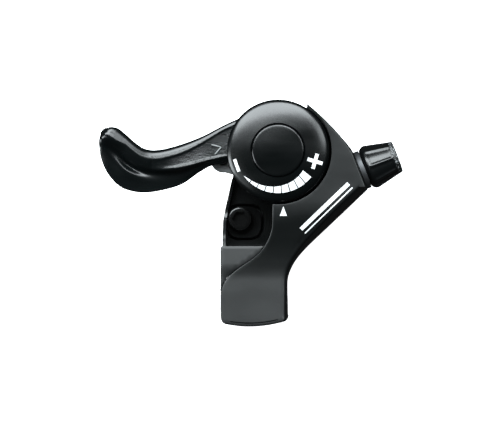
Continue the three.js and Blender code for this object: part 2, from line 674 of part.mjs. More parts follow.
const barrel = new THREE.Group();
barrel.applyMatrix4(toStop);
barrel.add(
  piece('adjuster_collar', adjusterCollar(), metal(steel, 0.4)),
  piece('adjuster_knob', adjusterKnob(), plastic(blackNylon, 0.45)),
  piece('adjuster_stem', adjusterStem(), metal(blackSteel, 0.35)),
  piece('adjuster_spring', adjusterSpring(), metal(springSteel, 0.3)),
  piece('housing_seat', housingSeat(), metal(steel, 0.35)),
);

coverScrews.forEach((place, i) => {
  const shape = revolved([
    [0, floorBottom + 0.1], [2.7, floorBottom + 0.1], [2.7, floorBottom + 1.3], [1.5, floorBottom + 1.35],
    [1.5, partingZ - 0.2], [1, partingZ - 0.1], [1, 14.5], [0, 15],
  ], 16).subtract(prism(regular(6, 1.3), 0, floorBottom + 1));
  const screw = piece(`cover_screw_${i + 1}`, shape, metal(blackSteel, 0.4));
  screw.position.set(place.x, place.y, 0);
  shifter.add(screw);
});

shifter.add(stack, clampStack, barrel);

export default shifter;
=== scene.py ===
"""Looks of the bicycle thumb shifter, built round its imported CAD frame.

All shapes are worked out in millimetres and turned into metres when a mesh is made.
"""
import json
import math

import bmesh
import bpy
from mathutils import Matrix, Vector
from mathutils.geometry import delaunay_2d_cdt


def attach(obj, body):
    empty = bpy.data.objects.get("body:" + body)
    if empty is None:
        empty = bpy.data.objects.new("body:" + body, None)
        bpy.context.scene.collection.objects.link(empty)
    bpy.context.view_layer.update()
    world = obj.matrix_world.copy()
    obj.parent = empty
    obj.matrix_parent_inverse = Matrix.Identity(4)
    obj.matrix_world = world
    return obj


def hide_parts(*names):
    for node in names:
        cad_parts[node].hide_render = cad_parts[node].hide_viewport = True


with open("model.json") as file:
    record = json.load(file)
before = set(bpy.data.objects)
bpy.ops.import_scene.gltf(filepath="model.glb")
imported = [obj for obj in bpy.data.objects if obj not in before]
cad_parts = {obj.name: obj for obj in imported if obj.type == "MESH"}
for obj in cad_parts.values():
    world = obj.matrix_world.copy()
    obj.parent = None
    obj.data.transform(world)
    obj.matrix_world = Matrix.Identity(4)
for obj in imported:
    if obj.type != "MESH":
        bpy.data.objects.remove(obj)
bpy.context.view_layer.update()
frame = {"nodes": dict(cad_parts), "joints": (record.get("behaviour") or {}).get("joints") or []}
scene = bpy.context.scene
joints = {j["name"]: j for j in frame["joints"]}

# ------------------------------------------------------------------ sizes, in millimetres
MM = 0.001
DIAL_X, DIAL_Y = (v / MM for v in joints["lever_turn"]["pos_m"][:2])
DIAL_RADIUS = 16.6
DIAL_GAP = 0.7
CAP_RADIUS = 8.35
BOLT_X, BOLT_Y = (v / MM for v in joints["clamp_bolt_turn"]["pos_m"][:2])
HINGE_Y, HINGE_Z = (v / MM for v in joints["clamp_band_swing"]["pos_m"][1:])
STOP = Vector([v / MM for v in joints["adjuster_turn"]["pos_m"]])
ALONG = Vector(joints["adjuster_turn"]["axis"])
ACROSS = Vector((-ALONG.y, ALONG.x, 0))
TO_STOP = Matrix((
    (-ACROSS.x, 0, ALONG.x, STOP.x),
    (-ACROSS.y, 0, ALONG.y, STOP.y),
    (0, 1, 0, STOP.z),
    (0, 0, 0, 1),
))
ALONG_BAR = Matrix(((0, 0, 1, 0), (1, 0, 0, 0), (0, 1, 0, 0), (0, 0, 0, 1)))
ON_HINGE = Matrix.Translation((0, HINGE_Y, HINGE_Z)) @ ALONG_BAR

BAR_RADIUS = 11.1
CLAMP_RADIUS = 13.3
LEFT_FACE = -11.0
RIGHT_FACE = 10.95
FLOOR_BOTTOM = 1.5
FLOOR_TOP = 5.0
PARTING = 10.0
WALL_TOP = PARTING - 0.1
WALL = 1.6
COVER_TOP = 22.5
NECK_TOP = 15.5
SADDLE_TOP = 15.2
SADDLE_EDGE = 13.1
POCKET_SIDE = [(-10.35, 21.4), (-9.7, 25.3), (-8.8, 29.25)]
STOP_FACE = -1.7
STOP_HALF = 6.6


# ------------------------------------------------------------------ outlines
def ramp(value, start, end):
    """How far value has gone from start to end, kept between 0 and 1."""
    return max(0.0, min(1.0, (value - start) / (end - start)))


def eased(t):
    """The share t from 0 to 1 with a level start and a level end."""
    return t * t * (3 - 2 * t)


def polar(radius, angle, x=0.0, y=0.0):
    """The point at a distance and an angle in degrees from (x, y)."""
    turn = math.radians(angle)
    return x + radius * math.cos(turn), y + radius * math.sin(turn)


def arc(x, y, radius, start, end, steps):
    """Points on an arc, angles in degrees."""
    return [polar(radius, start + (end - start) * i / steps, x, y) for i in range(steps + 1)]


def bend(steps, *controls):
    """A Bezier curve through its control polygon, quadratic or cubic."""
    def at(t):
        points = [Vector(c) for c in controls]
        while len(points) > 1:
            points = [a.lerp(b, t) for a, b in zip(points, points[1:])]
        return tuple(points[0])
    return [at(i / steps) for i in range(steps + 1)]


def rounded(points, radius, steps=4):
    """The closed polygon with each corner rounded; radius may be one number or one for each corner."""
    count = len(points)
    radii = radius if isinstance(radius, (list, tuple)) else [radius] * count
    result = []
    for i, r in enumerate(radii):
        corner = Vector(points[i])
        back = Vector(points[i - 1]) - corner
        ahead = Vector(points[(i + 1) % count]) - corner
        turn = math.pi - back.angle(ahead)
        if r <= 0 or turn < 0.05:
            result.append(tuple(corner))
            continue
        reach = min(r * math.tan(turn / 2), 0.45 * back.length, 0.45 * ahead.length)
        start = corner + back.normalized() * reach
        end = corner + ahead.normalized() * reach
        result += bend(steps, start, corner, end)
    return result


def inward_normals(points):
    """Unit normals that point into a closed polygon listed counter-clockwise."""
    count = len(points)
    normals = []
    for i in range(count):
        before = Vector(points[i - 1][:2])
        here = Vector(points[i][:2])
        after = Vector(points[(i + 1) % count][:2])
        a = (here - before).normalized()
        b = (after - here).normalized()
        side = Vector((-(a.y + b.y), a.x + b.x))
        normals.append(side.normalized() if side.length > 1e-6 else Vector((-a.y, a.x)))
    return normals


def inset(points, distance):
    """Every point of a closed outline moved inward by distance."""
    normals = inward_normals(points)
    return [(p[0] + n.x * distance, p[1] + n.y * distance) for p, n in zip(points, normals)]


def resampled(points, step):
    """The closed outline with extra points, so that no edge is longer than step."""
    result = []
    for i, here in enumerate(points):
        before = Vector(points[i - 1])
        parts = max(1, math.ceil((Vector(here) - before).length / step))
        result += [tuple(before.lerp(Vector(here), k / parts)) for k in range(1, parts + 1)]
    return result


def signed_area(points):
    """The area of a closed outline, positive when it runs counter-clockwise."""
    pairs = [(points[i - 1], points[i]) for i in range(len(points))]
    return sum(a[0] * b[1] - b[0] * a[1] for a, b in pairs) / 2


def inside(x, y, polygon):
    """True when the point lies within the polygon."""
    hit = False
    for i in range(len(polygon)):
        (x0, y0), (x1, y1) = polygon[i - 1][:2], polygon[i][:2]
        if (y0 > y) != (y1 > y) and x < (x1 - x0) * (y - y0) / (y1 - y0) + x0:
            hit = not hit
    return hit


def clear_of(x, y, polygon, distance):
    """True when a point is at least that far from every edge of the polygon."""
    for i in range(len(polygon)):
        a = Vector(polygon[i - 1][:2])
        edge = Vector(polygon[i][:2]) - a
        offset = Vector((x, y)) - a
        t = max(0.0, min(1.0, offset.dot(edge) / max(edge.length_squared, 1e-12)))
        if (offset - edge * t).length < distance:
            return False
    return True


# ------------------------------------------------------------------ meshes
def mesh_object(name, vertices, faces, matrix=None, merge=0.002):
    """A mesh from millimetre points, with its faces turned outward."""
    place = matrix or Matrix.Identity(4)
    mesh = bpy.data.meshes.new(name)
    mesh.from_pydata([place @ Vector(v) * MM for v in vertices], [], faces)
    obj = bpy.data.objects.new(name, mesh)
    scene.collection.objects.link(obj)
    tidy(obj, merge)
    return obj


def tidy(obj, merge=0.002):
    """Merges points that coincide and turns the faces outward."""
    work = bmesh.new()
    work.from_mesh(obj.data)
    if merge:
        bmesh.ops.remove_doubles(work, verts=work.verts, dist=merge * MM)
    bmesh.ops.recalc_face_normals(work, faces=work.faces)
    work.to_mesh(obj.data)
    work.free()


def stack_rings(rings, close_ends=True):
    """Faces between rings of equal length, with a flat face on the first and the last."""
    count = len(rings[0])
    vertices = [p for ring in rings for p in ring]
    faces = []
    for r in range(len(rings) - 1):
        for i in range(count):
            j = (i + 1) % count
            faces.append((r * count + i, r * count + j, (r + 1) * count + j, (r + 1) * count + i))
    if close_ends:
        faces.append(tuple(reversed(range(count))))
        faces.append(tuple(range(len(vertices) - count, len(vertices))))
    return vertices, faces


def quarter(steps):
    """Angles from 0 to a quarter turn, in radians."""
    return [math.pi / 2 * i / steps for i in range(steps + 1)]


def plate(name, outline, bottom, top, low_edge=0.0, high_edge=0.0, matrix=None, steps=4):
    """A flat plate whose bottom and top edges are rounded by the given radii."""
    points = outline if signed_area(outline) > 0 else list(reversed(outline))
    levels = []
    if low_edge > 0:
        levels += [(low_edge * (1 - math.sin(a)), bottom + low_edge * (1 - math.cos(a)))
                   for a in quarter(steps)]
    else:
        levels.append((0, bottom))
    if high_edge > 0:
        levels += [(high_edge * (1 - math.cos(a)), top - high_edge * (1 - math.sin(a)))
                   for a in quarter(steps)]
    else:
        levels.append((0, top))
    rings = [[(x, y, z) for x, y in (inset(points, d) if d > 1e-6 else [p[:2] for p in points])]
             for d, z in levels]
    return mesh_object(name, *stack_rings(rings), matrix)


def lathe(name, profile, matrix=None, segments=96, x=0.0, y=0.0, edges=None):
    """A solid of revolution about Z. The profile lists radius and height; edges rounds its corners."""
    if edges is not None:
        profile = rounded(profile, edges, 4)
    place = Matrix.Translation((x, y, 0)) if matrix is None else matrix
    vertices = []
    faces = []
    count = len(profile)
    for i in range(segments):
        angle = 2 * math.pi * i / segments
        vertices += [(max(r, 0) * math.cos(angle), max(r, 0) * math.sin(angle), z) for r, z in profile]
    for i in range(segments):
        a = i * count
        b = (i + 1) % segments * count
        for k in range(count):
            j = (k + 1) % count
            if profile[k][0] <= 1e-6 and profile[j][0] <= 1e-6:
                continue
            faces.append((a + k, b + k, b + j, a + j))
    return mesh_object(name, vertices, faces, place)


def cylinder(radius, bottom, top, x=0.0, y=0.0, segments=64, matrix=None):
    profile = [(0, bottom), (radius, bottom), (radius, top), (0, top)]
    return lathe("cylinder", profile, matrix, segments, x, y)


def capped(rings, height, grid):
    """Stacked rings whose last ring is filled with a fine grid that follows height(x, y)."""
    vertices, faces = stack_rings(rings, close_ends=False)
    count = len(rings[0])
    edge_start = len(vertices) - count
    border = rings[-1]
    xs = [p[0] for p in border]
    ys = [p[1] for p in border]
    coordinates = [Vector(p[:2]) for p in border]
    steps_x = int((max(xs) - min(xs)) / grid)
    steps_y = int((max(ys) - min(ys)) / grid)
    for i in range(steps_x + 1):
        for j in range(steps_y + 1):
            x = min(xs) + grid * (i + 0.5 * (j % 2))
            y = min(ys) + grid * j
            if inside(x, y, border) and clear_of(x, y, border, 0.45 * grid):
                coordinates.append(Vector((x, y)))
    loop = [(i, (i + 1) % count) for i in range(count)]
    found, _, triangles, origins, _, _ = delaunay_2d_cdt(coordinates, loop, [], 1, 1e-5)
    index = []
    for place, sources in zip(found, origins):
        source = min(sources) if sources else -1
        if 0 <= source < count:
            index.append(edge_start + source)
        else:
            index.append(len(vertices))
            vertices.append((place.x, place.y, height(place.x, place.y)))
    faces += [tuple(index[k] for k in triangle) for triangle in triangles]
    faces.append(tuple(reversed(range(count))))
    return vertices, faces


def combine(target, tool, operation):
    """Unites, cuts or intersects target with tool, which is then removed."""
    modifier = target.modifiers.new(operation.lower(), "BOOLEAN")
    modifier.operation = operation
    modifier.solver = "EXACT"
    modifier.object = tool
    graph = bpy.context.evaluated_depsgraph_get()
    result = bpy.data.meshes.new_from_object(target.evaluated_get(graph))
    target.modifiers.clear()
    target.data = result
    bpy.data.objects.remove(tool)
    return target


def add(target, *tools):
    for tool in tools:
        combine(target, tool, "UNION")
    return target


def cut(target, *tools):
    for tool in tools:
        combine(target, tool, "DIFFERENCE")
    return target


def smooth(obj, angle=32):
    """Smooth shading, with sharp edges where faces meet at more than angle degrees."""
    tidy(obj, 0.004)
    obj.data.polygons.foreach_set("use_smooth", [True] * len(obj.data.polygons))
    obj.data.set_sharp_from_angle(angle=math.radians(angle))
    return obj


def fit(obj, body, slot, material, *nodes, angle=32):
    """Finishes a piece: shading, materials, the body it rides on and the CAD nodes it stands for."""
    smooth(obj, angle)
    marked = [p.material_index for p in obj.data.polygons]
    materials = material if isinstance(material, list) else [material]
    obj.data.materials.clear()
    for each in materials:
        obj.data.materials.append(each)
    obj.data.polygons.foreach_set("material_index", [min(k, len(materials) - 1) for k in marked])
    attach(obj, body)
    if nodes:
        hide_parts(*nodes)
    return obj


# ------------------------------------------------------------------ materials
class Nodes:
    """A short way to write a node tree around one Principled shader."""

    def __init__(self, name):
        self.material = bpy.data.materials.new(name)
        self.material.use_nodes = True
        self.tree = self.material.node_tree
        self.shader = self.tree.nodes["Principled BSDF"]
        self.place = self.new("ShaderNodeNewGeometry").outputs["Position"]

    def new(self, kind, **values):
        node = self.tree.nodes.new(kind)
        for key, value in values.items():
            setattr(node, key, value)
        return node

    def link(self, source, target):
        self.tree.links.new(source, target)

    def noise(self, scale, detail=4.0, roughness=0.55, stretch=(1, 1, 1)):
        """Noise with a feature size of about 1/scale metres, placed in the piece's own space."""
        mapping = self.new("ShaderNodeMapping")
        mapping.inputs["Scale"].default_value = [scale * s for s in stretch]
        texture = self.new("ShaderNodeTexNoise")
        texture.inputs["Scale"].default_value = 1.0
        texture.inputs["Detail"].default_value = detail
        texture.inputs["Roughness"].default_value = roughness
        coordinates = self.new("ShaderNodeTexCoord").outputs["Object"]
        self.link(coordinates, mapping.inputs["Vector"])
        self.link(mapping.outputs["Vector"], texture.inputs["Vector"])
        return texture.outputs["Fac"]

    def spread(self, source, low, high, start=0.3, end=0.7):
        """The source remapped from start..end to low..high."""
        node = self.new("ShaderNodeMapRange")
        for key, value in (("From Min", start), ("From Max", end), ("To Min", low), ("To Max", high)):
            node.inputs[key].default_value = value
        self.link(source, node.inputs["Value"])
        return node.outputs["Result"]

    def blend(self, factor, first, second):
        node = self.new("ShaderNodeMix", data_type="RGBA")
        self.link(factor, node.inputs["Factor"])
        node.inputs[6].default_value = (*first, 1)
        node.inputs[7].default_value = (*second, 1)
        return node.outputs[2]

    def bump(self, source, height, before=None):
        node = self.new("ShaderNodeBump")
        node.inputs["Strength"].default_value = 1.0
        node.inputs["Distance"].default_value = height * MM
        self.link(source, node.inputs["Height"])
        if before is not None:
            self.link(before, node.inputs["Normal"])
        return node.outputs["Normal"]


def moulded(name, color, roughness, grain, grain_size, specular=0.5):
    """Moulded plastic: a fine texture from the mould, faint flow marks and slightly uneven gloss."""
    n = Nodes(name)
    fine = n.noise(1 / (grain_size * MM), 3.0, 0.6)
    broad = n.noise(90, 3.0, 0.5)
    flow = n.noise(45, 2.0, 0.5, (1, 3, 1))
    darker = tuple(c * 0.82 for c in color)
    lighter = tuple(min(1.0, c * 1.15) for c in color)
    n.link(n.blend(n.spread(broad, 0, 1), darker, lighter), n.shader.inputs["Base Color"])
    n.link(n.spread(flow, roughness - 0.04, roughness + 0.05), n.shader.inputs["Roughness"])
    n.shader.inputs["Specular IOR Level"].default_value = specular
    wavy = n.bump(broad, 0.02)
    n.link(n.bump(fine, grain, wavy), n.shader.inputs["Normal"])
    return n.material


def metallic(name, color, roughness, stretch=(1, 1, 1), grain=0.004):
    """Metal with faint brushing or turning marks and cloudy gloss."""
    n = Nodes(name)
    lines = n.noise(2500, 3.0, 0.6, stretch)
    cloud = n.noise(180, 4.0, 0.6)
    darker = tuple(c * 0.8 for c in color)
    n.link(n.blend(n.spread(cloud, 0, 1), darker, color), n.shader.inputs["Base Color"])
    n.link(n.spread(cloud, roughness - 0.06, roughness + 0.1), n.shader.inputs["Roughness"])
    n.shader.inputs["Metallic"].default_value = 1.0
    n.link(n.bump(lines, grain), n.shader.inputs["Normal"])
    return n.material


def printed(name, color):
    """Thick white pad-printing ink with tiny pits."""
    n = Nodes(name)
    fine = n.noise(5000, 2.0, 0.6)
    darker = tuple(c * 0.95 for c in color)
    n.link(n.blend(n.spread(fine, 0, 1), darker, color), n.shader.inputs["Base Color"])
    n.link(n.spread(fine, 0.45, 0.6), n.shader.inputs["Roughness"])
    n.link(n.bump(fine, 0.004), n.shader.inputs["Normal"])
    return n.material


def flecked(name, color, fleck):
    """Roughly cast plastic with pale flecks, which are painted glints."""
    n = Nodes(name)
    fine = n.noise(2600, 3.0, 0.65)
    n.link(n.blend(n.spread(fine, 0, 1, 0.57, 0.62), color, fleck), n.shader.inputs["Base Color"])
    n.link(n.spread(fine, 0.35, 0.6), n.shader.inputs["Roughness"])
    n.link(n.bump(fine, 0.12), n.shader.inputs["Normal"])
    return n.material


body_nylon = moulded("body_nylon", (0.0012, 0.0020, 0.0020), 0.43, 0.010, 0.22)
# A glossier, weaker-reflecting material for the floor in the bolt's pocket: painted shade for the
# recess.
pocket_shade_nylon = moulded("pocket_shade_nylon", (0.0016, 0.0022, 0.0022), 0.24, 0.004, 0.3, 0.4)
cover_nylon = moulded("cover_nylon", (0.0010, 0.0018, 0.0018), 0.41, 0.008, 0.20)
lever_nylon = moulded("lever_nylon", (0.0016, 0.0026, 0.0028), 0.23, 0.004, 0.25)
web_nylon = moulded("lever_grain", (0.0022, 0.0032, 0.0034), 0.25, 0.13, 0.52)
# The light grey on the lever's black moulded arrow is a painted highlight for light caught by its edges.
arrow_highlight_paint = moulded("arrow_highlight_paint", (0.25, 0.26, 0.26), 0.4, 0.004, 0.25)
dial_plastic = moulded("dial_plastic", (0.0006, 0.0012, 0.0013), 0.23, 0.003, 0.18)
drum_grey = moulded("drum_grey", (0.12, 0.125, 0.125), 0.45, 0.006, 0.3)
knob_plastic = moulded("knob_plastic", (0.0018, 0.0025, 0.0027), 0.30, 0.008, 0.2)
# The knob's far rim: its pale flecks are painted glints on the rough black plastic.
rough_rim_glints = flecked("knob_end", (0.003, 0.0036, 0.0038), (0.42, 0.44, 0.45))
white_print = printed("white_print", (0.80, 0.81, 0.81))
plated_steel = metallic("plated_steel", (0.12, 0.125, 0.13), 0.55)
black_oxide = moulded("black_oxide", (0.0016, 0.0018, 0.0018), 0.22, 0.003, 0.3, 0.6)
spring_steel = metallic("spring_steel", (0.55, 0.56, 0.57), 0.3)


# ------------------------------------------------------------------ the cover's outline
def beside_stop(w, v):
    """The point w along the cable stop's axis and v across it."""
    place = STOP + ALONG * w + ACROSS * v
    return place.x, place.y


def part_of_edge(points, draft, edge, draft_end=None, edge_end=None):
    """Outline points with their draft (how far the wall leans in at COVER_TOP) and top edge radius."""
    last = max(len(points) - 1, 1)
    draft_end = draft if draft_end is None else draft_end
    edge_end = edge if edge_end is None else edge_end
    return [(x, y, draft + (draft_end - draft) * i / last, edge + (edge_end - edge) * i / last)
            for i, (x, y) in enumerate(points)]


def bottom_edge(d):
    """The clamp's curved foot, from left to right; d moves it inward."""
    x, y = -1.5, 26.7
    radius = 40 - d
    reach = 9.2 - 0.6 * d
    start = 270 + math.degrees(math.asin((-reach - x) / radius))
    end = 270 + math.degrees(math.asin((reach - x) / radius))
    return arc(x, y, radius, start, end, 30)


def right_edges(d):
    """From the foot's right corner up past the cable stop to the dial; d moves it inward."""
    right = RIGHT_FACE - d
    low = -9.8 + 0.3 * d
    slant = (18.1 - 0.69 * d, 13.7 + 0.73 * d)
    end = STOP + ALONG * (STOP_FACE - d)
    lower = (end - ACROSS * (STOP_HALF - d))[:2]
    upper = (end + ACROSS * (STOP_HALF - d))[:2]
    if d > 0:
        shoulder = bend(6, upper, (upper[0] - 1.2, upper[1] + 1.6), (27.2, 48.1))
    else:
        shoulder = bend(34, upper, (30.5, 47.3), (22.6, 55.6), (17.3, 59.3))
    corner = bend(8, (9.2 - 0.6 * d, -11.84 + d), (right, -11.6 + d), (right, low))
    inner = bend(30, (right, 1), (right + 0.05, 6), (14.6 - 0.7 * d, 10.3 + 0.6 * d), slant)
    side = bend(8, (right, low), (right, 1))
    diagonal = bend(30, slant, lower)
    end_face = bend(12, lower, upper)
    return [
        *part_of_edge(corner[1:], 0.3, 0.5, 1, 1.3),
        *part_of_edge(side[1:], 1, 1.3),
        *part_of_edge(inner[1:], 1, 1.3, 2.2, 1.1),
        *part_of_edge(diagonal[1:], 2.2, 1.1, 2.2, 0.9),
        *part_of_edge(end_face[1:], 0.4, 0.6),
        *part_of_edge(shoulder[1:], 0.5, 0.7, 0, 0.12),
    ]


def split_edge(d):
    """The cover's curved edge beside the saddle, from the dial down to the clamp's left face."""
    middle = (-1.2 + 0.5 * d, 8.5 - 0.8 * d)
    foot = (LEFT_FACE + d, -3 - 0.3 * d)
    upper = bend(22, (6.1 + d, 20.6), (6 + d, 16.2), (2.8 + 0.7 * d, 11.1 - 0.7 * d), middle)
    lower = bend(22, middle, (-6.4 + 0.6 * d, 5.1 - 0.8 * d), (-10.6 + d, 2.5 - 0.6 * d), foot)
    top = (6.2 + d, DIAL_Y - DIAL_RADIUS - DIAL_GAP + 0.1 - d)
    return bend(6, top, upper[0]) + upper[1:] + lower[1:]


def left_corner(d):
    """The clamp's left face below the split, and its corner down to the foot."""
    left = LEFT_FACE + d
    low = bottom_edge(d)[0]
    side = bend(6, (left, -3 - 0.3 * d), (left, -9.6 + 0.3 * d))
    return side + bend(8, side[-1], (left + 0.05, -12.1 + d), low)[1:-1]


def dial_arc(d):
    """The cover's edge round the dial, clockwise."""
    radius = DIAL_RADIUS + DIAL_GAP + d
    if d > 0:
        return arc(DIAL_X, DIAL_Y, radius, 9, -95.9 + 5 * d, 50)
    return arc(DIAL_X, DIAL_Y, radius, 59, -95.9, 90)


def cover_outline(d=0.0):
    """The whole outline, counter-clockwise, with each point's draft and edge radius."""
    return [
        *part_of_edge(bottom_edge(d), 0.3, 0.5),
        *right_edges(d),
        *part_of_edge(dial_arc(d)[1:], 0, 0.12, 0, 0.3),
        *part_of_edge(split_edge(d)[1:], 0, 0.35),
        *part_of_edge(left_corner(d)[1:], 0, 0.35, 0.3, 0.5),
    ]


def soft_min(a, b, width):
    """The smaller of a and b, rounded off where they differ by less than width."""
    mix = max(0.0, min(1.0, 0.5 + 0.5 * (b - a) / width))
    return b + (a - b) * mix - width * mix * (1 - mix)


def neck_height(y):
    """The neck leans up a little towards the bar's far side, then sweeps up to the dial."""
    foot = NECK_TOP - 0.1
    rise = ramp(y, 2, 28)
    lean = 0.09 * (6 - y) * (1 - rise) ** 2
    return foot + lean + (COVER_TOP - foot) * eased(rise)


def cover_height(x, y):
    """The cover's top: the neck rises to the dial's shoulder and falls off towards the cable stop."""
    front = neck_height(y)
    along_stop = (x - STOP.x) * ALONG.x + (y - STOP.y) * ALONG.y
    fall = max(0.0, (along_stop + 11) / 11)
    back = COVER_TOP - 0.9 * fall ** 2.4
    return soft_min(front, back, 1.2)


def cover_solid(name, d, bottom, lower, edged):
    """The cover as a full solid: inset by d, from bottom up to its top surface less lower."""
    outline = cover_outline(d)
    normals = inward_normals(outline)

    def place(i, z, extra):
        x, y, draft, _ = outline[i]
        lean = draft * (z - PARTING) / (COVER_TOP - PARTING) + extra
        return x + normals[i].x * lean, y + normals[i].y * lean

    count = len(outline)
    radii = [p[3] if edged else 0.02 for p in outline]
    tops = []
    for i, r in enumerate(radii):
        x, y = place(i, NECK_TOP, r)
        tops.append(cover_height(x, y) - lower)
    rings = []
    for k in range(4):
        share = k / 3
        levels = [bottom + (tops[i] - radii[i] - bottom) * share for i in range(count)]
        rings.append([(*place(i, levels[i], 0), levels[i]) for i in range(count)])
    for a in quarter(6)[1:]:
        levels = [tops[i] - radii[i] * (1 - math.sin(a)) for i in range(count)]
        leans = [r * (1 - math.cos(a)) for r in radii]
        rings.append([(*place(i, levels[i], leans[i]), levels[i]) for i in range(count)])
    vertices, faces = capped(rings, lambda x, y: cover_height(x, y) - lower, 0.9 if edged else 2.0)
    return mesh_object(name, vertices, faces)


def bar_bore():
    return cylinder(BAR_RADIUS, -30, 30, segments=128, matrix=ALONG_BAR)


def cable_gap():
    """The slot in the walls beside the drum's groove."""
    ring = lathe("gap", [(DIAL_RADIUS, 8.4), (DIAL_RADIUS + 3.2, 8.4), (DIAL_RADIUS + 3.2, 11.6),
                         (DIAL_RADIUS, 11.6)], x=DIAL_X, y=DIAL_Y)
    side = plate("side", [(7.9, 15), (40, 15), (40, 62), (7.9, 62)], 8, 12)
    return combine(ring, side, "INTERSECT")


def stop_bore():
    return cylinder(3.9, -14, 1, matrix=TO_STOP)


def bracket_cover():
    cover = cover_solid("cover_shell", 0, PARTING, 0, True)
    cut(cover, cover_solid("hollow", WALL, PARTING - 1, WALL, False), cable_gap())
    block = [beside_stop(w, v) for w, v in (
        (-11.5, -STOP_HALF + 0.5), (STOP_FACE - 0.3, -STOP_HALF + 0.5),
        (STOP_FACE - 0.3, STOP_HALF - 1.8), (-6, STOP_HALF - 1.8), (-9.5, 2.5))]
    add(cover, plate("block", block, PARTING, PARTING + 6))
    foot = bottom_edge(1.1)[1:-1] + bottom_edge(1.5)[1:-1][::-1]
    cut(cover, plate("foot_groove", foot, NECK_TOP, NECK_TOP + 3))
    return cut(cover, stop_bore(), bar_bore())


# ------------------------------------------------------------------ the bracket's base and the clamp
def base_outline():
    return [
        *bottom_edge(0),
        *[p[:2] for p in right_edges(0)],
        (16.2, 57.8), (DIAL_X, DIAL_Y), (-7.2, 36.5),
        *POCKET_SIDE[::-1], (POCKET_SIDE[0][0], SADDLE_EDGE),
        *left_corner(0)[1:],
    ]


def clipped(points, side):
    """The part of a closed polygon where side(x, y) is positive; side must be linear."""
    result = []
    for i, here in enumerate(points):
        before = points[i - 1]
        a, b = side(*before), side(*here)
        if (a > 0) != (b > 0):
            t = a / (a - b)
            x = before[0] + (here[0] - before[0]) * t
            y = before[1] + (here[1] - before[1]) * t
            result.append((x, y))
        if b > 0:
            result.append(here)
    return result


